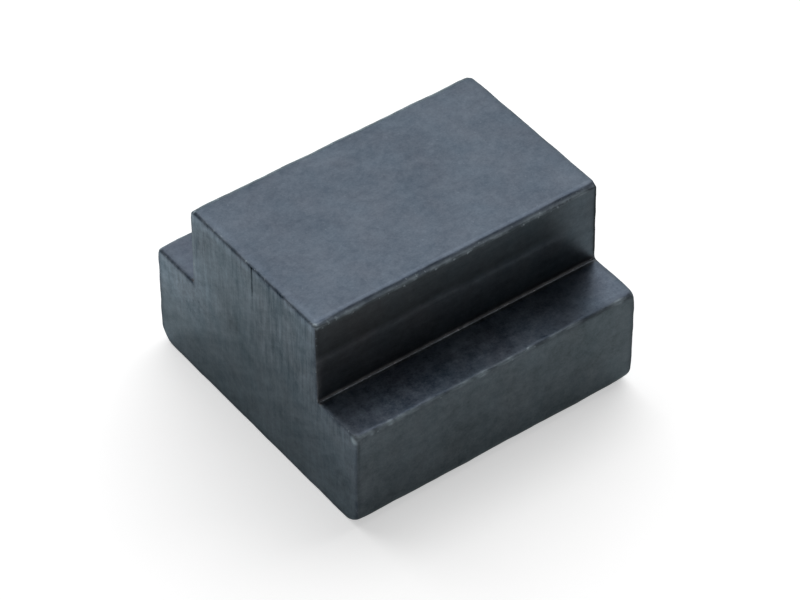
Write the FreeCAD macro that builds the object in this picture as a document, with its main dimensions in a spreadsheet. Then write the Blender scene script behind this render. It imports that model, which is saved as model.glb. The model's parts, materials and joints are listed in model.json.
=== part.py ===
import FreeCAD, Part

import os

import Sketcher
from FreeCAD import Vector

# T-slot nut, blank form: one block of blackened steel with a T-shaped section.
# The wide head slides in the undercut of a machine table's slot, the narrow neck stands in its mouth,
# and the two shoulders beside the neck pull up against the slot's lips.
# Millimetres. The origin is the centre of the underside, X runs across the slot, Y along it and Z up.

DRIVING_SIZES = [
    ("slot_width", 14.0, "mouth of the slot that the neck stands in"),
    ("slot_clearance", 0.3, "play of the neck in that mouth, both sides together"),
    ("lip_overlap", 4.0, "reach of the head under each lip of the slot"),
    ("neck_height", 6.4, "neck, from the shoulders to the top face"),
    ("head_height", 8.0, "head, from the underside to the shoulders"),
    ("nut_length", 22.3, "length along the slot"),
    ("bottom_round", 1.1, "radius of the two long edges under the head"),
    ("shoulder_round", 0.28, "radius worn on the two long edges of the shoulders"),
    ("neck_round", 0.42, "radius of the two long edges of the top face"),
    ("root_fillet", 0.15, "radius left by the cutter between neck and shoulder"),
    ("end_round", 0.15, "radius left by deburring round each sawn end"),
]

NODE = "nut_body"
COORDINATE_TOLERANCE = 1e-4


def make_size_sheet(doc):
    """Spreadsheet with one row for each driving size: its name, its value under an alias, what it is."""
    sheet = doc.addObject("Spreadsheet::Sheet", "sizes")
    for row, (name, value, meaning) in enumerate(DRIVING_SIZES, start=1):
        sheet.set(f"A{row}", name)
        sheet.set(f"B{row}", str(value))
        sheet.setAlias(f"B{row}", name)
        sheet.set(f"C{row}", meaning)
    doc.recompute()
    return sheet


def origin_plane(body, role):
    """The body's own origin plane with that role, such as XZ_Plane."""
    return next(feature for feature in body.Origin.OriginFeatures if feature.Role == role)


def half_widths(sheet):
    """Half the neck's width, which is the slot's mouth less its play, and half the head's."""
    half_neck = (sheet.slot_width - sheet.slot_clearance) / 2
    half_head = sheet.slot_width / 2 + sheet.lip_overlap
    return half_neck, half_head


def section_corners(sheet):
    """Corners of the T from the bottom left one, anticlockwise as seen from the near end."""
    half_neck, half_head = half_widths(sheet)
    top = sheet.head_height + sheet.neck_height
    return [
        Vector(-half_head, 0, 0),
        Vector(half_head, 0, 0),
        Vector(half_head, sheet.head_height, 0),
        Vector(half_neck, sheet.head_height, 0),
        Vector(half_neck, top, 0),
        Vector(-half_neck, top, 0),
        Vector(-half_neck, sheet.head_height, 0),
        Vector(-half_head, sheet.head_height, 0),
    ]


def add_section_sketch(body, sheet):
    """T-shaped section, mirrored about the vertical axis, with its sizes bound to the sheet."""
    sketch = body.newObject("Sketcher::SketchObject", "section")
    sketch.AttachmentSupport = [(origin_plane(body, "XZ_Plane"), "")]
    sketch.MapMode = "FlatFace"

    corners = section_corners(sheet)
    count = len(corners)
    lines = [Part.LineSegment(corners[i], corners[(i + 1) % count]) for i in range(count)]
    bottom, head_right, shoulder_right, neck_right, top, neck_left, shoulder_left, head_left = range(count)
    sketch.addGeometry(lines, False)

    first, last = 1, 2
    for i in range(count):
        sketch.addConstraint(Sketcher.Constraint("Coincident", i, last, (i + 1) % count, first))
    for i in (head_right, neck_right, neck_left, head_left):
        sketch.addConstraint(Sketcher.Constraint("Vertical", i))
    for i in (shoulder_right, shoulder_left):
        sketch.addConstraint(Sketcher.Constraint("Horizontal", i))

    horizontal_axis, vertical_axis = -1, -2
    for i in (bottom, top):
        sketch.addConstraint(Sketcher.Constraint("Symmetric", i, first, i, last, vertical_axis))
    sketch.addConstraint(Sketcher.Constraint("PointOnObject", bottom, first, horizontal_axis))
    sketch.addConstraint(Sketcher.Constraint("Equal", head_left, head_right))

    half_neck, half_head = half_widths(sheet)
    dimensions = [
        ("neck_width", top, last, first, 2 * half_neck, "sizes.slot_width - sizes.slot_clearance"),
        ("head_width", bottom, first, last, 2 * half_head, "sizes.slot_width + 2 * sizes.lip_overlap"),
        ("head_height", head_right, first, last, sheet.head_height, "sizes.head_height"),
        ("neck_height", neck_right, first, last, sheet.neck_height, "sizes.neck_height"),
    ]
    for name, line, start, end, value, formula in dimensions:
        kind = "DistanceX" if line in (top, bottom) else "DistanceY"
        index = sketch.addConstraint(Sketcher.Constraint(kind, line, start, line, end, value))
        sketch.renameConstraint(index, name)
        sketch.setExpression(f"Constraints.{name}", formula)
    return sketch


def middle(edge):
    """Point halfway along a straight edge."""
    return (edge.Vertexes[0].Point + edge.Vertexes[-1].Point) * 0.5


def near(value, target):
    """Whether two coordinates are the same."""
    return abs(value - target) < COORDINATE_TOLERANCE


def long_edges(shape, half_width, height):
    """Names of the two edges along the slot that lie at plus and minus half_width, at that height."""
    names = []
    for number, edge in enumerate(shape.Edges, start=1):
        start, end = edge.Vertexes[0].Point, edge.Vertexes[-1].Point
        along_slot = near(start.x, end.x) and near(start.z, end.z) and not near(start.y, end.y)
        point = middle(edge)
        if along_slot and near(abs(point.x), half_width) and near(point.z, height):
            names.append(f"Edge{number}")
    return names


def end_edges(shape, half_length):
    """Names of all the edges that bound the two end faces."""
    names = []
    for number, edge in enumerate(shape.Edges, start=1):
        box = edge.BoundBox
        if near(abs(box.YMin), half_length) and near(box.YMin, box.YMax):
            names.append(f"Edge{number}")
    return names


def add_fillet(body, base, label, edges, radius_formula):
    """Rolling-ball fillet on the named edges of the feature before it."""
    fillet = body.newObject("PartDesign::Fillet", label)
    fillet.Base = (base, edges)
    fillet.setExpression("Radius", radius_formula)
    body.Document.recompute()
    return fillet


def make_nut_body(doc, sheet):
    """The nut: the T section extruded both ways along the slot, then its edges eased."""
    body = doc.addObject("PartDesign::Body", NODE)
    body.Label = NODE
    section = add_section_sketch(body, sheet)
    doc.recompute()

    bar = body.newObject("PartDesign::Pad", "bar")
    bar.Profile = section
    bar.Midplane = True
    bar.setExpression("Length", "sizes.nut_length")
    section.Visibility = False
    doc.recompute()

    half_neck, half_head = half_widths(sheet)
    shoulder = sheet.head_height
    top = sheet.head_height + sheet.neck_height
    rounds = [
        ("bottom_rounds", half_head, 0.0, "sizes.bottom_round"),
        ("root_fillets", half_neck, shoulder, "sizes.root_fillet"),
        ("shoulder_rounds", half_head, shoulder, "sizes.shoulder_round"),
        ("neck_rounds", half_neck, top, "sizes.neck_round"),
    ]
    last = bar
    for label, half_width, height, formula in rounds:
        last = add_fillet(body, last, label, long_edges(last.Shape, half_width, height), formula)

    add_fillet(body, last, "end_rounds", end_edges(last.Shape, sheet.nut_length / 2), "sizes.end_round")
    body.Placement = FreeCAD.Placement(Vector(0, 0, 0), FreeCAD.Rotation())
    doc.recompute()
    return body


def check_document(doc, bodies):
    """Stop if any object failed to recompute, or any sub-part has no single valid solid."""
    failed = [obj.Name for obj in doc.Objects if "Invalid" in obj.State or "Error" in obj.State]
    if failed:
        raise RuntimeError("these objects did not recompute: " + ", ".join(failed))
    for body in bodies:
        shape = body.Shape
        if shape.isNull() or not shape.isValid() or len(shape.Solids) != 1:
            raise RuntimeError(f"{body.Label} is not one valid solid")


doc = FreeCAD.newDocument("t_slot_nut_blank")
sizes = make_size_sheet(doc)
nut_body = make_nut_body(doc, sizes)
check_document(doc, [nut_body])

os.makedirs("parts", exist_ok=True)
nut_body.Shape.exportStep(os.path.join("parts", nut_body.Label + ".step"))

box = nut_body.Shape.optimalBoundingBox()
print(f"{nut_body.Label}: {box.XLength:.2f} x {box.YLength:.2f} x {box.ZLength:.2f} mm,",
      f"{nut_body.Shape.Volume:.1f} mm3, {len(nut_body.Shape.Faces)} faces")
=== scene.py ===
import json
import math

import bpy
import numpy as np
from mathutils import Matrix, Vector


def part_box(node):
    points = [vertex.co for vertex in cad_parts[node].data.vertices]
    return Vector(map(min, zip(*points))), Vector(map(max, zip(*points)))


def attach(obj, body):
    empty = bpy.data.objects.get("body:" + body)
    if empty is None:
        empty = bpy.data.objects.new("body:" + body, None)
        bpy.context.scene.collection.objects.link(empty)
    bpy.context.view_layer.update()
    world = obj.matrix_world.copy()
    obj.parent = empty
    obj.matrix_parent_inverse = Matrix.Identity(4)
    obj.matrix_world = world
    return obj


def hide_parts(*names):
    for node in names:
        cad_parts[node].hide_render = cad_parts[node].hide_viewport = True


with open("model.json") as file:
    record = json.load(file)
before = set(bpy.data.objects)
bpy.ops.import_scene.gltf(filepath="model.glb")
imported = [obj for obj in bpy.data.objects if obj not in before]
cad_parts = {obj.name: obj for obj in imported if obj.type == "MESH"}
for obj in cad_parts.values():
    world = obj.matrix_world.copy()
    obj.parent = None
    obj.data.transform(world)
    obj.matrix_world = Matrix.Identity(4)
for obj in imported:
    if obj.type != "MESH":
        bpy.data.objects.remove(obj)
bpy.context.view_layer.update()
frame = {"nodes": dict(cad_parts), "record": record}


# The nut
# One block of steel of T section, milled from bar, cut to length and deburred by hand, then blackened in a
# hot oxide bath and oiled. Its two sawn ends keep fine upright cutter marks, its long faces lengthwise ones.

MM = 0.001

# The sharp-edged T as packed, in millimetres: half its widths and length, and its two heights.
half_head, half_length, top = np.array(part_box("nut_body")[1]) / MM
shoulder_mount = next(m for m in frame["record"]["mounts"] if m["name"] == "shoulder_right")
shoulder_face = shoulder_mount["pos_m"][2] / MM
node_points = np.array([v.co for v in frame["nodes"]["nut_body"].data.vertices]) / MM
above_shoulder = node_points[:, 2] > shoulder_face + 1.0
half_neck = np.abs(node_points[above_shoulder, 0]).max()

# What the cutter left, in millimetres: the rounds under the head, the root's fillet and the lean of the
# right wall.
bottom_round = 1.1
root_fillet = 0.15
wall_lean = 0.12

# What the file left: the round of the shoulders' edges, crisper halfway along the right one, and the facet
# along the top's long edges, with its reach across the top and down the wall and the rounds of its own edges.
shoulder_round = 0.26
crisp_middle = 0.09
break_across = 0.38
break_down = 0.24
break_round = 0.07
neck_box_round = 0.05

# The rounds of the sawn ends, wider at the foot of each side, and along the top edge, most at its left end.
end_round = 0.13
foot_wear = 0.22
foot_inset = 0.3
end_top_wear = 0.02
end_top_left_wear = 0.05

# Each corner's own wear, its reach, and how much more the head's two right corners have taken.
corner_wear = 0.10
corner_reach = 0.5
far_knock = 1.2
near_knock = 0.8


def bell(distance, reach):
    """One where the distance is nought, falling off as a Gaussian to about a third at reach."""
    return np.exp(-(distance / reach) ** 2)


def wander(t, seed, wavelength, octaves=4):
    """Smooth uneven value along an edge, from about -1 to 1: a sum of sines of halving wavelength."""
    rng = np.random.default_rng(seed)
    fade = 0.6
    total = np.zeros_like(t)
    for octave in range(octaves):
        shift = rng.uniform(0.0, 2.0 * np.pi)
        stretch = rng.uniform(0.8, 1.25)
        total += fade ** octave * np.sin(2.0 * np.pi * t * 2 ** octave * stretch / wavelength + shift)
    return total / 1.6


def graded_lines(ends, corners, coarse):
    """Sorted grid positions from ends[0] to ends[1]: close together within reach of each corner, and coarse
    between. A corner is its position, the reach of its round and the number of steps in that reach."""
    lines = [np.array(ends, float)]
    covered = []
    for position, reach, steps in corners:
        near = position + np.linspace(-reach, reach, 2 * steps + 1)
        lines.append(near[(near >= ends[0] - 1e-9) & (near <= ends[1] + 1e-9)])
        covered.append((position - reach, position + reach))
    count = int(round((ends[1] - ends[0]) / coarse))
    between = np.linspace(ends[0], ends[1], count + 1)
    for start, stop in covered:
        between = between[(between < start - 0.4 * coarse) | (between > stop + 0.4 * coarse)]
    lines.append(between)
    return np.unique(np.concatenate(lines).round(6))


def outer_round(a, b, radius):
    """Distance from what two shapes share, with a round where they meet: both are drawn in by the radius, and
    the distance from where the two then meet is let out by it again."""
    a = a + radius
    b = b + radius
    return np.hypot(np.maximum(a, 0.0), np.maximum(b, 0.0)) + np.minimum(np.maximum(a, b), 0.0) - radius


def inner_fillet(a, b, radius):
    """Distance from two shapes together, with a fillet where they meet: the outer round of the space
    outside them."""
    return -outer_round(-a, -b, radius)


def box_distance(u, v, half_u, half_v, radius):
    """Distance from a rectangle with rounded corners, below nought inside it: what two bands, each between a
    pair of parallel sides, share."""
    return outer_round(np.abs(u) - half_u, np.abs(v) - half_v, radius)


def nut_distance(p):
    """Distance from the eased nut, below nought inside it. The head's rounded rectangle and the neck's, whose
    top edges are broken with a file, are joined with a small fillet in their inner corner, and the result is
    cut to length with rounded ends. Each radius wanders a little along its edge and grows toward the
    corners, as hand deburring leaves it. The shifts by side give the left and the right edge a wander of
    their own."""
    x, y, z = p.T
    side = np.sign(x)
    right = x > 0.0

    knocked = 1.0 + right * (z < 0.7 * top) * np.where(y > 0.0, far_knock, near_knock)
    spread = corner_reach * knocked ** 0.5
    corner = corner_wear * knocked * bell(half_length - np.abs(y), spread)

    r_bottom = bottom_round * (1.0 + 0.05 * wander(y + 40.0 * side, seed=3, wavelength=9.0)) + corner
    r_shoulder = shoulder_round * (1.0 + 0.22 * wander(y + 55.0 * side, seed=5, wavelength=5.0)) + corner
    r_shoulder = r_shoulder - crisp_middle * right * bell(y, 3.0)
    r_head = np.where(z < 0.5 * shoulder_face, r_bottom, r_shoulder)
    head = box_distance(x, z - 0.5 * shoulder_face, half_head, 0.5 * shoulder_face, r_head)

    climb = np.clip((z - shoulder_face) / (top - shoulder_face), 0.0, 1.0)
    half_width = half_neck - wall_lean * right * climb * (2.0 - climb)
    neck_middle = 0.5 * (0.5 * shoulder_face + top)
    neck = box_distance(x, z - neck_middle, half_width, top - neck_middle, neck_box_round)
    slope = np.hypot(break_across, break_down)
    broken = 1.0 + 0.12 * wander(y + 70.0 * side, seed=7, wavelength=6.0)
    broken = broken * break_across * break_down / slope + 0.4 * corner
    broken = broken * (1.0 - 0.6 * right * bell(y + half_length, 0.8))
    facet = ((np.abs(x) - half_width) * break_down + (z - top) * break_across) / slope + broken
    neck = outer_round(neck, facet, break_round)
    section = inner_fillet(head, neck, root_fillet)

    to_shoulder_edge = np.hypot(np.abs(x) - half_head, z - shoulder_face)
    to_top_edge = np.hypot(np.abs(x) - half_neck, z - top)
    to_foot = np.hypot(np.abs(x) - half_head + foot_inset, z - foot_inset)
    along_end = x + 1.7 * z + 30.0 * np.sign(y)
    r_end = end_round * (1.0 + 0.28 * wander(along_end, seed=11, wavelength=4.0))
    r_end = r_end + corner_wear * knocked * bell(np.minimum(to_shoulder_edge, to_top_edge), spread)
    top_wear = end_top_wear + end_top_left_wear * bell(x + half_neck, 1.5)
    r_end = r_end + foot_wear * bell(to_foot, 0.7) + top_wear * bell(z - top, 0.3)
    return outer_round(section, np.abs(y) - half_length, r_end)


def nearest_core(p):
    """Nearest point of a smaller T-shaped core, an inset below each face, to each point of the sharp-edged
    nut: the point held within the head's inner box or the neck's, whichever is nearer. Beside the root the
    core point leans back from the corner, so that the line from it to the surface crosses the fillet."""
    inset = 1.6
    y = np.clip(p[:, 1], -half_length + inset, half_length - inset)
    head = np.stack([np.clip(p[:, 0], -half_head + inset, half_head - inset), y,
                     np.clip(p[:, 2], inset, shoulder_face - inset)], axis=-1)
    neck = np.stack([np.clip(p[:, 0], -half_neck + inset, half_neck - inset), y,
                     np.clip(p[:, 2], inset, top - inset)], axis=-1)
    to_head = np.linalg.norm(p - head, axis=-1)
    to_neck = np.linalg.norm(p - neck, axis=-1)
    core = np.where((to_head < to_neck)[:, None], head, neck)

    out = (np.abs(p[:, 0]) - half_neck) / root_fillet
    up = (p[:, 2] - shoulder_face) / root_fillet
    lean = np.clip(1.0 - np.maximum(out, up), 0.0, 1.0) * (np.minimum(out, up) > -1e-6)
    side = np.sign(p[:, 0])
    core[:, 0] = np.where((lean > 0.0) & (to_head < to_neck), p[:, 0] - side * inset * lean, core[:, 0])
    core[:, 2] = np.where((lean > 0.0) & (to_head >= to_neck), p[:, 2] - inset * lean, core[:, 2])
    return core


def slide_onto_nut(p):
    """Slides each point of the sharp-edged nut along the line from its core point until it lies on the eased
    nut, by halving the stretch in which nut_distance changes sign."""
    farthest = 1.4
    halvings = 34
    core = nearest_core(p)
    inner = np.zeros(len(p))
    outer = np.full(len(p), farthest)
    for _ in range(halvings):
        middle = 0.5 * (inner + outer)
        inside = nut_distance(core + middle[:, None] * (p - core)) < 0.0
        inner = np.where(inside, middle, inner)
        outer = np.where(inside, outer, middle)
    return core + inner[:, None] * (p - core)


def edge_wear_and_highlights(sharp):
    """Two values at each point of the sharp-edged nut. The first, from 0 to 1.4, is how far handling has
    taken off the oxide, with painted highlights drawn the same way: a sum of bells of the distance from each
    edge, nick or spot, each with its reach in millimetres and its depth.
    It is most along the long edges of the shoulders and of the top, which are worn and carry painted
    highlights, at the near right corner, and in the root, where the light line is a painted highlight. The
    band on the top inside each end and the bright dot at the near end of the top's right edge are painted
    highlights too.
    Filed, from 0 to 1, is how rough the file has left the rounds: one bell of the distance from the nearest
    edge."""
    signed_x, y, z = sharp.T
    x = np.abs(signed_x)
    left = signed_x < 0.0
    right = signed_x > 0.0
    near_right = right * (y < 0.0)
    along = y + 25.0 * np.sign(signed_x)
    from_end = half_length - np.abs(y)

    def long_line(x_at, z_at):
        """Distance from the two lines along the nut at plus and minus x_at and at the height z_at."""
        return np.hypot(x - x_at, z - z_at)

    def end_line(value, y_inset):
        """Distance from the lines across both ends where value is nought, y_inset in from the end face."""
        return np.hypot(value, from_end - y_inset)

    def spot(x_at, y_at, z_at):
        """Distance from one point."""
        return np.linalg.norm(sharp - (x_at, y_at, z_at), axis=-1)

    head_outline = box_distance(x, z - 0.5 * shoulder_face, half_head, 0.5 * shoulder_face, 0.0)
    neck_outline = box_distance(x, z - 0.5 * top, half_neck, 0.5 * top, 0.0)
    to_end_edge = end_line(np.minimum(head_outline, neck_outline), 0.0)
    to_shoulder_edge = long_line(half_head, shoulder_face)
    to_top_edge = long_line(half_neck, top)

    shoulder_depth = 0.86 - 0.022 * y + 0.35 * wander(along, seed=17, wavelength=3.6)
    nicks = [(-9.9, 0.16), (-9.2, 0.12), (-8.4, 0.12), (-7.7, 0.2), (-1.2, 0.35), (9.8, 0.2)]
    nick_depth = 0.7 * sum(bell(y - place, width) for place, width in nicks) * right
    top_fade = 1.0 - 0.8 * bell(y - half_length, 0.7) - 0.9 * left * bell(y + half_length, 0.6)
    top_depth = (0.80 + 0.22 * wander(along, seed=23, wavelength=4.0)) * top_fade
    # The root's light line is a painted highlight, fading toward the far end.
    root_depth = 0.92 + 0.18 * wander(along, seed=29, wavelength=2.5)
    root_depth = root_depth * (1.0 - 0.65 * bell(y - half_length, 1.3))
    neck_corner_depth = np.where(left, 0.62, 0.20 * (y < 0.0)) * (z > shoulder_face + 0.8)

    # Along the long edges: worn edges with painted highlights on them, nicks, and the painted light line in
    # the root.
    along_edges = [
        (to_shoulder_edge, 0.18, shoulder_depth),
        (long_line(half_head, shoulder_face - 0.10), 0.24, nick_depth),
        (long_line(half_neck - 0.24, top), 0.17, 0.26 * top_fade),
        (long_line(half_neck, top - 0.05), 0.16, top_depth),
        (long_line(half_neck, top - 0.35), 0.25, 0.12),
        (long_line(half_neck, shoulder_face + 0.11), 0.12, root_depth),
    ]
    # Across the ends: worn edges, and the band on the top just inside each end is a painted highlight.
    round_ends = [
        (to_end_edge, 0.12, 0.14 + 0.08 * left),
        (end_line(z - top, 0.10), 0.14, 0.24),
        (end_line(z - shoulder_face, 0.12), 0.18, 0.16 * (x > half_neck + 0.3)),
        (end_line(x - half_neck + 0.2, 0.0), 0.18, neck_corner_depth),
        (end_line(x - half_head + 0.30, 0.0), 0.26, 0.26 * near_right * (z > 0.9)),
    ]
    # The first spot is a painted highlight, a bright dot at the near end of the top's right edge; the rest
    # are worn corners and nicks.
    corners_nicks_and_glint = [
        (spot(half_neck - 0.30, -half_length + 0.12, top), 0.13, 1.0),
        (spot(half_head - 0.30, -half_length, shoulder_face - 0.34), 0.27, 1.4),
        (np.hypot(to_shoulder_edge, from_end - 0.1), 0.28, 0.5 * near_right),
        (spot(half_head - 0.80, -half_length, 0.0), 0.18, 0.5),
        (spot(half_neck, half_length - 0.2, 10.3), 0.10, 0.9),
        (spot(half_neck + 0.3, -half_length, shoulder_face - 0.05), 0.14, 0.9),
    ]
    marks = along_edges + round_ends + corners_nicks_and_glint
    rubbed_and_highlight = sum(depth * bell(distance, reach) for distance, reach, depth in marks)
    filed = bell(np.minimum(np.minimum(to_shoulder_edge, to_top_edge), to_end_edge), 0.3)
    return np.clip(rubbed_and_highlight, 0.0, 1.4), filed


def panel(first, second, place):
    """Grid of points over two lists of positions, and its quads: place turns the two into x, y, z."""
    u, v = np.meshgrid(first, second, indexing="ij")
    points = np.stack([np.broadcast_to(c, u.shape) for c in place(u, v)], axis=-1).reshape(-1, 3)
    index = np.arange(u.size).reshape(u.shape)
    quads = np.stack([index[:-1, :-1], index[1:, :-1], index[1:, 1:], index[:-1, 1:]], axis=-1)
    return points, quads.reshape(-1, 4)


def nut_mesh():
    """Closed quad mesh of the nut: twelve flat panels over the sharp-edged T, welded where they meet, then
    slid onto the eased nut. The grid is close round each edge, where the surface turns."""
    spacing = 0.3
    x_corners = [(-half_head, 1.4, 14), (half_head, 1.4, 14), (-half_neck, 0.7, 12), (half_neck, 0.7, 12)]
    y_corners = [(-half_length, 0.55, 11), (half_length, 0.55, 11)]
    z_corners = [(0.0, 1.4, 14), (shoulder_face, 0.6, 11), (top, 0.7, 12)]
    xs = graded_lines((-half_head, half_head), x_corners, spacing)
    ys = graded_lines((-half_length, half_length), y_corners, spacing)
    zs = graded_lines((0.0, top), z_corners, spacing)
    neck_x = xs[np.abs(xs) <= half_neck + 1e-6]
    right_x = xs[xs >= half_neck - 1e-6]
    left_x = xs[xs <= -half_neck + 1e-6]
    head_z = zs[zs <= shoulder_face + 1e-6]
    neck_z = zs[zs >= shoulder_face - 1e-6]
    panels = [
        panel(ys, xs, lambda y, x: (x, y, 0.0)),
        panel(neck_x, ys, lambda x, y: (x, y, top)),
        panel(right_x, ys, lambda x, y: (x, y, shoulder_face)),
        panel(left_x, ys, lambda x, y: (x, y, shoulder_face)),
        panel(ys, head_z, lambda y, z: (half_head, y, z)),
        panel(head_z, ys, lambda z, y: (-half_head, y, z)),
        panel(ys, neck_z, lambda y, z: (half_neck, y, z)),
        panel(neck_z, ys, lambda z, y: (-half_neck, y, z)),
        panel(xs, head_z, lambda x, z: (x, -half_length, z)),
        panel(head_z, xs, lambda z, x: (x, half_length, z)),
        panel(neck_x, neck_z, lambda x, z: (x, -half_length, z)),
        panel(neck_z, neck_x, lambda z, x: (x, half_length, z)),
    ]
    starts = np.cumsum([0] + [len(points) for points, _ in panels[:-1]])
    points = np.concatenate([points for points, _ in panels])
    quads = np.concatenate([quads + start for (_, quads), start in zip(panels, starts)])
    _, keep, weld = np.unique(points.round(5), axis=0, return_index=True, return_inverse=True)
    sharp = points[keep]
    quads = weld.reshape(-1)[quads]
    eased = slide_onto_nut(sharp)

    mesh = bpy.data.meshes.new("nut")
    mesh.from_pydata((eased * MM).tolist(), [], quads.tolist())
    for name, values in zip(("rubbed_and_highlight", "filed"), edge_wear_and_highlights(sharp)):
        mesh.attributes.new(name, "FLOAT", "POINT").data.foreach_set("value", values.astype(np.float32))
    mesh.shade_smooth()
    mesh.update()
    return mesh


class Socket:
    """A shader value. Arithmetic on it adds the Math nodes."""

    def __init__(self, tree, link):
        self.tree = tree
        self.link = link

    def math(self, operation, *values):
        """Math node on the given values, sockets or numbers, in their order."""
        node = self.tree.nodes.new("ShaderNodeMath")
        node.operation = operation
        for slot, value in zip(node.inputs, values):
            if isinstance(value, Socket):
                self.tree.links.new(value.link, slot)
            else:
                slot.default_value = value
        return Socket(self.tree, node.outputs[0])

    def __add__(self, other):
        return self.math("ADD", self, other)

    def __radd__(self, other):
        return self.math("ADD", other, self)

    def __sub__(self, other):
        return self.math("SUBTRACT", self, other)

    def __rsub__(self, other):
        return self.math("SUBTRACT", other, self)

    def __mul__(self, other):
        return self.math("MULTIPLY", self, other)

    def __rmul__(self, other):
        return self.math("MULTIPLY", other, self)

    def __abs__(self):
        return self.math("ABSOLUTE", self)

    def between(self, low, high):
        """Smoothstep: nought at low, one at high, which may be the smaller of the two."""
        node = self.tree.nodes.new("ShaderNodeMapRange")
        node.interpolation_type = "SMOOTHSTEP"
        self.tree.links.new(self.link, node.inputs["Value"])
        node.inputs["From Min"].default_value = low
        node.inputs["From Max"].default_value = high
        return Socket(self.tree, node.outputs["Result"])


class Shader:
    """Node tree of one material. add() makes any node: its type, its settings, then its sockets' values or
    links. A socket goes by its name, with _ for a space, or by i and its number."""

    def __init__(self, name):
        self.material = bpy.data.materials.new(name)
        self.material.use_nodes = True
        self.tree = self.material.node_tree
        self.tree.nodes.clear()

    def add(self, kind, settings=(), output=0, **sockets):
        node = self.tree.nodes.new("ShaderNode" + kind)
        for name, value in dict(settings).items():
            setattr(node, name, value)
        for name, value in sockets.items():
            numbered = name[1:].isdigit()
            slot = node.inputs[int(name[1:])] if numbered else node.inputs[name.replace("_", " ")]
            if isinstance(value, Socket):
                self.tree.links.new(value.link, slot)
            else:
                slot.default_value = value
        return Socket(self.tree, node.outputs[output]) if node.outputs else None

    def split(self, vector):
        """The three components of a vector."""
        x = self.add("SeparateXYZ", Vector=vector)
        return x, Socket(self.tree, x.link.node.outputs[1]), Socket(self.tree, x.link.node.outputs[2])

    def attribute(self, name):
        """A number that the mesh carries at each point."""
        return self.add("Attribute", {"attribute_name": name}, output=2)

    def noise(self, place, stretch, detail=2.0, roughness=0.5):
        """Noise from 0 to 1, with about stretch cells a millimetre along x, y and z."""
        cells = self.add("VectorMath", {"operation": "MULTIPLY"}, i0=place, i1=stretch)
        return self.add("TexNoise", Vector=cells, Scale=1.0, Detail=detail, Roughness=roughness)

    def blend(self, amount, first, second):
        """Colour between first and second by amount."""
        return self.add("Mix", {"data_type": "RGBA"}, output=2, i0=amount, i6=first, i7=second)

    def shade(self, colour, grey):
        """Colour made darker or lighter by a grey factor."""
        return self.add("VectorMath", {"operation": "SCALE"}, i0=colour, i3=grey)

    def together(self, first, second):
        """Sum of two colours."""
        return self.add("VectorMath", {"operation": "ADD"}, i0=first, i1=second)


class NutFaces:
    """The nut's faces as masks from 0 to 1, told apart by the way the surface looks and by where it lies: the
    sawn ends, the crown on top, the shoulders, the neck's walls, the head's flanks, and the root between
    wall and shoulder. place, and its parts x, y and z, are in millimetres."""

    def __init__(self, shader):
        object_place = shader.add("TexCoord", output=3)
        self.place = shader.add("VectorMath", {"operation": "SCALE"}, i0=object_place, i3=1.0 / MM)
        self.x, self.y, self.z = shader.split(self.place)
        normal_x, normal_y, normal_z = shader.split(shader.add("TexCoord", output=1))
        self.sawn = abs(normal_y).between(0.55, 0.9)
        self.upward = normal_z.between(0.55, 0.9)
        upright = abs(normal_x).between(0.55, 0.9)
        self.wall = upright * abs(self.x).between(half_neck + 0.8, half_neck + 0.4)
        self.flank = upright - self.wall
        self.shoulder = self.upward * self.z.between(top - 2.0, top - 3.0)
        self.right_shoulder = self.shoulder * self.x.between(0.0, 1.0)
        self.crown = self.upward - self.shoulder
        beside_neck = abs(self.x).between(half_neck + 0.4, half_neck + 0.25)
        beside_neck = beside_neck * abs(self.x).between(half_neck - 0.3, half_neck - 0.1)
        at_shoulder = self.z.between(shoulder_face + 0.6, shoulder_face + 0.4)
        at_shoulder = at_shoulder * self.z.between(shoulder_face - 0.2, shoulder_face - 0.1)
        self.root = beside_neck * at_shoulder * (1.0 - self.sawn)


def saw_marks(shader, face, streaks):
    """Light and dark marks of the saw on both ends: upright streaks, fine lines and broad bands, which fade
    toward the foot and the left, and softer slanting sweeps. Each is noise drawn out along its mark."""
    x, z = face.x, face.z
    lines = shader.noise(face.place, (6.5, 0.9, 0.16), 1.0, 0.5)
    bands = shader.noise(face.place, (1.0, 0.9, 0.12), 2.0, 0.6)
    upright = 1.9 * streaks + 0.45 * lines + 0.8 * bands - 1.575
    upright = upright * (0.35 + 0.65 * z.between(5.0, 9.0)) * (0.7 + 0.3 * x.between(-2.0, 2.5))
    slant = shader.add("CombineXYZ", i0=x * 0.5 + z * 0.3, i1=face.y, i2=z * 1.1 - x * 0.75)
    sweep = shader.noise(slant, (0.35, 0.35, 0.9), 3.0, 0.6)
    return face.sawn * (upright + 0.9 * (sweep - 0.5))


def dull_marks(shader, face):
    """Where the top has gone duller in use: an uneven lane along its length, left of the middle, and a strip
    along its left edge."""
    waver = 1.2 * (shader.noise(face.place, (0.42, 0.12, 0.42)) - 0.5)
    lane = abs(face.x + 1.9 + waver).between(1.7, 0.2) * (0.35 + 0.65 * face.y.between(-2.0, 1.5))
    strip = face.x.between(-5.6, -6.2)
    return face.crown * (0.09 * lane + 0.07 * strip)


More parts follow.
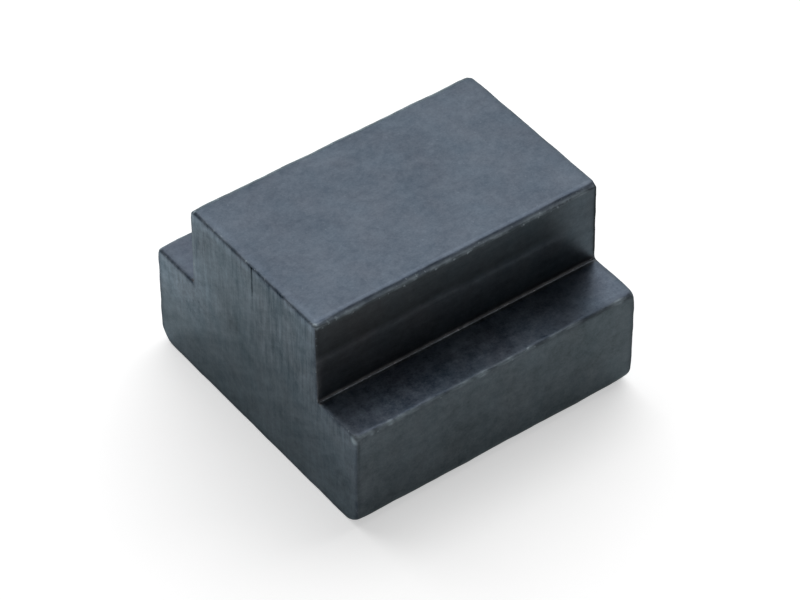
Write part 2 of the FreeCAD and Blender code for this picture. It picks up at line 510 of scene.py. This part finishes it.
def dark_lines(shader, face):
    """Thin dark lines, each a narrow band about a plane: a wavering scratch that runs down the near end from
    the middle of its top edge, a painted dark reflection where both ends meet the top, heavier at its left,
    and where they meet the left shoulder, and the broken border of the filed facet on the top."""
    place, x, y, z = face.place, face.x, face.y, face.z
    waver = 0.12 * (shader.noise(place, (0.0, 0.0, 1.4)) - 0.5)
    scratch = abs(x + 0.05 + waver).between(0.12, 0.05) * y.between(-10.0, -10.5) * face.sawn
    scratch = scratch * (0.25 + 0.75 * z.between(11.7, 12.2)) * z.between(10.4, 11.2)

    from_end_line = abs(abs(y) + 0.07 - half_length)
    # Painted dark reflection along the rounds where the ends meet the top and the left shoulder.
    top_edge_shade = from_end_line.between(0.12, 0.04) * z.between(top - 0.3, top - 0.1) * (1.0 + x.between(-5.8, -6.4))
    top_edge_shade = top_edge_shade * shader.noise(place, (1.5, 0.5, 0.5)).between(0.35, 0.60)
    ledge = from_end_line.between(0.14, 0.05) * x.between(0.1 - half_neck, -0.1 - half_neck)
    ledge = ledge * z.between(shoulder_face - 0.3, shoulder_face - 0.1)

    border = abs(abs(x) + 0.42 - half_neck).between(0.08, 0.03) * z.between(top - 0.4, top - 0.2)
    border = border * shader.noise(place, (0.5, 0.9, 0.5)).between(0.30, 0.55)
    return 0.9 * scratch + 0.45 * (top_edge_shade + ledge) + 0.28 * border


def tone_and_painted_light(face):
    """How much lighter each part of each face is than plain oxide: each face's own tone and painted light and
    shade, for each face a sum of smooth steps along x, y and z. The ends carry painted reflected light and
    shade, lighter toward their upper left and darker toward their foot and right, and a painted highlight
    along their top edge.
    The top has painted highlights along its near edge and its long edge, and the walls are painted lighter
    toward their foot and their near end. There is a dark line down the right flank just behind the near end."""
    x, y, z = face.x, face.y, face.z
    # Painted reflected light and shade on the ends: lighter toward the upper left, darker toward the foot and
    # the right.
    left_patch = x.between(-2.0, -8.0) * z.between(2.8, 7.0) * (1.0 - 0.5 * z.between(8.0, 11.0))
    ends = 0.12 + 0.22 * x.between(-4.0, -10.0) + 0.42 * z.between(5.0, 14.0) + left_patch
    ends = ends + 0.16 * x.between(2.0, 5.0) * z.between(2.0, 4.0) * z.between(10.0, 8.0)
    # A painted highlight along the ends' top edge, and lighter bands toward the right.
    ends = ends + 0.70 * z.between(13.4, 14.1) + 0.12 * x.between(8.0, 10.0) + 0.12 * x.between(4.5, 6.5)
    ends = ends + 0.13 * x.between(-5.9, -6.2) * z.between(8.2, 9.0)
    ends = ends + 0.14 * x.between(6.6, 7.4) * z.between(6.3, 7.4)

    flank = 0.36 + 0.08 * z.between(6.0, 8.0) - 0.14 * y.between(0.0, 9.0) + 0.12 * y.between(-9.0, -11.0)
    # Painted light on the walls: lighter toward the foot and the near end.
    wall = 0.15 + 0.30 * z.between(11.0, 8.5) - 0.15 * y.between(-6.0, -3.0)
    # Painted highlights on the top: a strip along the near end and a line inside the long edge.
    crown = 0.02 + 0.04 * x.between(2.0, 5.0) + 0.20 * y.between(-10.3, -10.9)
    crown = crown + 0.18 * x.between(half_neck - 0.78, half_neck - 0.66)

    rim = 0.22 * x.between(9.5, 10.8) * (1.0 - y.between(6.0, 9.5)) + 0.35 * y.between(-10.2, -10.9)
    shoulder = 0.38 - 0.30 * y.between(-6.5, -1.5) - 0.14 * y.between(3.0, 6.5) + 0.08 * y.between(8.3, 9.6)

    near_edge = abs(y + half_length - 0.20).between(0.11, 0.05) * x.between(10.5, 10.8) * z.between(3.5, 7.5)
    lift = face.sawn * ends + face.flank * flank + face.wall * wall + face.crown * crown
    return lift + face.right_shoulder * (shoulder - rim) - 0.35 * near_edge


def wall_painted_light(shader, face):
    """Factor on the oxide's brightness on the neck's walls, painting light and shade on them: a wavering
    painted light line partway up, painted shade above it, a little lighter near the top, the line and the
    shade both fading toward the far end.
    A dark line ends the right wall at the far end."""
    y, z = face.y, face.z
    waver = 0.7 * (shader.noise(face.place, (0.0, 0.25, 0.0)) - 0.5)
    # Painted light on the wall: a light line about 3.3 mm above the shoulder, with painted shade above it.
    above_line = z - (shoulder_face + 3.32 + waver)
    upper_shade = above_line.between(0.0, 0.7) * y.between(10.5, 6.0)
    light_line = abs(above_line).between(0.26, 0.05) * y.between(10.0, 7.0)
    shaded = 0.05 + 0.50 * upper_shade - 0.08 * z.between(12.8, 13.6) - 0.22 * light_line
    far_edge = y.between(half_length - 0.30, half_length - 0.14) * (1.0 - face.sawn)
    far_edge = far_edge * face.x.between(6.4, 6.6) * z.between(8.3, 8.8)
    return (1.0 - face.wall * shaded) * (1.0 - 0.75 * far_edge)


def oxide_colour(shader, face, level, mottled):
    """Colour of the oxide: each face's own tint, bluer on what looks up and browner beside and in the root,
    plus grey patches by mottled and a slow drift between brown and blue, all scaled by level."""
    tint = shader.blend(face.sawn, (0.068, 0.083, 0.107, 1.0), (0.068, 0.083, 0.103, 1.0))
    tint = shader.blend(face.flank, tint, (0.069, 0.083, 0.094, 1.0))
    near_wall = (0.077, 0.083, 0.092, 1.0)
    far_wall = (0.068, 0.083, 0.099, 1.0)
    tint = shader.blend(face.wall, tint, shader.blend(face.y.between(-9.0, 5.0), near_wall, far_wall))
    tint = shader.blend(face.shoulder, tint, (0.068, 0.083, 0.109, 1.0))
    tint = shader.blend(face.root, tint, (0.076, 0.083, 0.095, 1.0))
    patches = shader.shade((0.074, 0.083, 0.093), level * mottled)
    hue = shader.noise(face.place, (0.45, 0.45, 0.35), 3.0, 0.5)
    drifting = level * (hue - 0.5) * (1.0 - 0.4 * face.crown - 0.5 * face.flank)
    drift = shader.shade((0.016, -0.002, -0.011), drifting)
    return shader.together(shader.together(shader.shade(tint, level), patches), drift)


def black_oxide():
    """Blackened steel: a thin blue-grey oxide that mirrors a tenth of the light, cloudy and finely mottled.
    The sawn ends have upright streaks and softer slanting ones. Beside the neck the cutter left lengthwise
    streaks.
    Where the edges are worn, paler bare steel shows through in flecks, and the same paler colour paints
    highlights along edges and in the root. Each face's brightness also carries painted light and shade."""
    shader = Shader("black_oxide")
    face = NutFaces(shader)
    place = face.place

    cloud = shader.noise(place, (0.35, 0.22, 0.35), 2.0, 0.6)
    mottle = shader.noise(place, (1.8, 1.5, 1.8), 3.0, 0.75)
    grain = shader.noise(place, (7.0, 6.0, 7.0), 2.0, 0.7)
    speck = shader.noise(place, (4.5, 4.5, 4.5), 1.0, 0.4).between(0.70, 0.80)
    saw_streaks = shader.noise(place, (3.1, 0.9, 0.30), 3.0, 0.7)
    mill_streaks = shader.noise(place, (3.2, 0.10, 3.2), 3.0, 0.6)

    mottled = 0.66 * (cloud - 0.5) + 0.80 * (mottle - 0.5) + 0.40 * (grain - 0.5)
    coarser_shoulder = 1.6 * face.right_shoulder * (1.0 - 0.6 * face.y.between(3.0, 8.0))
    mottled = mottled * (1.0 + 0.6 * face.sawn + 0.3 * face.flank + coarser_shoulder)
    mottled = mottled + saw_marks(shader, face, saw_streaks) - dull_marks(shader, face)
    mottled = mottled + (0.45 * mill_streaks - 0.22) * (face.wall + 0.5 * face.shoulder)
    mottled = mottled - dark_lines(shader, face) + 0.22 * speck * face.upward + 0.12 * speck * face.flank
    # level carries each face's tone together with painted light and shade.
    level = wall_painted_light(shader, face) * (1.0 + tone_and_painted_light(face))
    oxide = oxide_colour(shader, face, level, mottled)

    # Worn edges show paler bare steel in flecks; the same colour carries the painted highlights along edges
    # and in the root.
    rubbed_and_highlight = shader.attribute("rubbed_and_highlight")
    flecks = shader.noise(place, (2.6, 1.2, 2.6), 2.0, 0.6).between(0.36, 0.66)
    glints = shader.noise(place, (3.2, 3.2, 3.2), 1.0, 0.5).between(0.66, 0.74)
    worn_and_highlit = rubbed_and_highlight * (0.72 + 0.50 * flecks) + 0.5 * glints * rubbed_and_highlight.between(0.05, 0.30)
    # In the root the paler colour is bluer, a painted highlight.
    steel = shader.blend(face.root, (0.33, 0.39, 0.43, 1.0), (0.39, 0.38, 0.39, 1.0))
    colour = shader.blend(worn_and_highlit.between(0.0, 1.5), oxide, steel)

    gloss = 0.315 + 0.07 * face.sawn + 0.09 * face.flank + 0.03 * (face.wall + face.shoulder)
    gloss = gloss + 0.10 * (mottle - 0.5) + 0.05 * (cloud - 0.5) + 0.28 * shader.attribute("filed")
    relief = 0.5 * grain + 0.6 * mottle + 1.6 * face.sawn * saw_streaks
    relief = relief + 0.8 * (face.wall + face.shoulder) * mill_streaks
    bump = shader.add("Bump", Height=relief, Strength=0.25, Distance=0.000012)
    surface = shader.add("BsdfPrincipled", Base_Color=colour, Roughness=gloss, Metallic=0.88,
                         Specular_Tint=(0.86, 1.0, 1.0, 1.0), Normal=bump)
    shader.add("OutputMaterial", Surface=surface)
    return shader.material


nut = bpy.data.objects.new("nut_black_steel", nut_mesh())
bpy.context.scene.collection.objects.link(nut)
nut.data.materials.append(black_oxide())
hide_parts("nut_body")
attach(nut, "root")


# The table top
# A wide sheet of matt white board under the nut, laid a hundredth of a millimetre below it. It keeps the
# nut's soft shadow, and the camera and glossy reflections see it lit up to white.

def white_board():
    """Matt white with a share of its own light for the camera, and a smaller one for reflections."""
    shader = Shader("white_board")
    camera = shader.add("LightPath", output=0)
    glossy = shader.add("LightPath", output=3)
    clear = shader.add("LightPath", output=6)
    matt = shader.add("BsdfDiffuse", Color=(0.9, 0.9, 0.9, 1.0))
    own_light = 0.5 * camera + 0.12 * (glossy + clear)
    glow = shader.add("Emission", Color=(1.0, 1.0, 1.0, 1.0), Strength=own_light)
    both = shader.add("AddShader", i0=matt, i1=glow)
    shader.add("OutputMaterial", Surface=both)
    return shader.material


board_half = 1.5
board_top = -0.00001
board_corners = [(-board_half, -board_half, board_top), (board_half, -board_half, board_top),
                 (board_half, board_half, board_top), (-board_half, board_half, board_top)]
board_mesh = bpy.data.meshes.new("board")
board_mesh.from_pydata(board_corners, [], [(0, 1, 2, 3)])
board_mesh.materials.append(white_board())
board = bpy.data.objects.new("white_board", board_mesh)
bpy.context.scene.collection.objects.link(board)


# The light
# A large soft box behind and to the left of the nut, and an even pale room.

def aim(thing, position, target):
    """Puts a lamp or the camera at a position, turned by the heading and the drop of the line to its
    target."""
    thing.location = position
    direction = np.array(target, float) - np.array(position, float)
    heading = math.atan2(direction[1], direction[0])
    drop = math.atan2(-direction[2], math.hypot(direction[0], direction[1]))
    thing.rotation_euler = (math.pi / 2 - drop, 0.0, heading - math.pi / 2)


soft_box_light = bpy.data.lights.new("back_left_soft_box", "AREA")
soft_box_light.shape = "RECTANGLE"
soft_box_light.size = 2.4
soft_box_light.size_y = 1.5
soft_box_light.energy = 18.6
soft_box = bpy.data.objects.new("back_left_soft_box", soft_box_light)
bpy.context.scene.collection.objects.link(soft_box)
aim(soft_box, (-0.60, 0.40, 0.69), (0.0, 0.0, 0.007))

room = bpy.data.worlds.new("pale_room")
bpy.context.scene.world = room
room.use_nodes = True
room.node_tree.nodes["Background"].inputs["Color"].default_value = (1.0, 1.0, 1.0, 1.0)
room.node_tree.nodes["Background"].inputs["Strength"].default_value = 0.1


# The camera
# A long lens looks down on the nut's near end and right side, as in the photograph.

azimuth = math.radians(53.32)
elevation = math.radians(43.47)
distance = 0.2641
shift_right = 0.000325
shift_up = 0.003858
focal_pixels = 3990.0
picture_width = 800.0
sensor_width = 36.0

back = np.array([math.sin(azimuth) * math.cos(elevation), -math.cos(azimuth) * math.cos(elevation),
                 math.sin(elevation)])
right = np.array([math.cos(azimuth), math.sin(azimuth), 0.0])
up = np.cross(back, right)
position = distance * back + shift_right * right + shift_up * up

lens = bpy.data.cameras.new("camera")
lens.sensor_fit = "HORIZONTAL"
lens.sensor_width = sensor_width
lens.lens = focal_pixels / picture_width * sensor_width
lens.clip_start = 0.01
camera = bpy.data.objects.new("camera", lens)
bpy.context.scene.collection.objects.link(camera)
aim(camera, position, position - back)
bpy.context.scene.camera = camera

bpy.context.scene.view_settings.view_transform = "Standard"
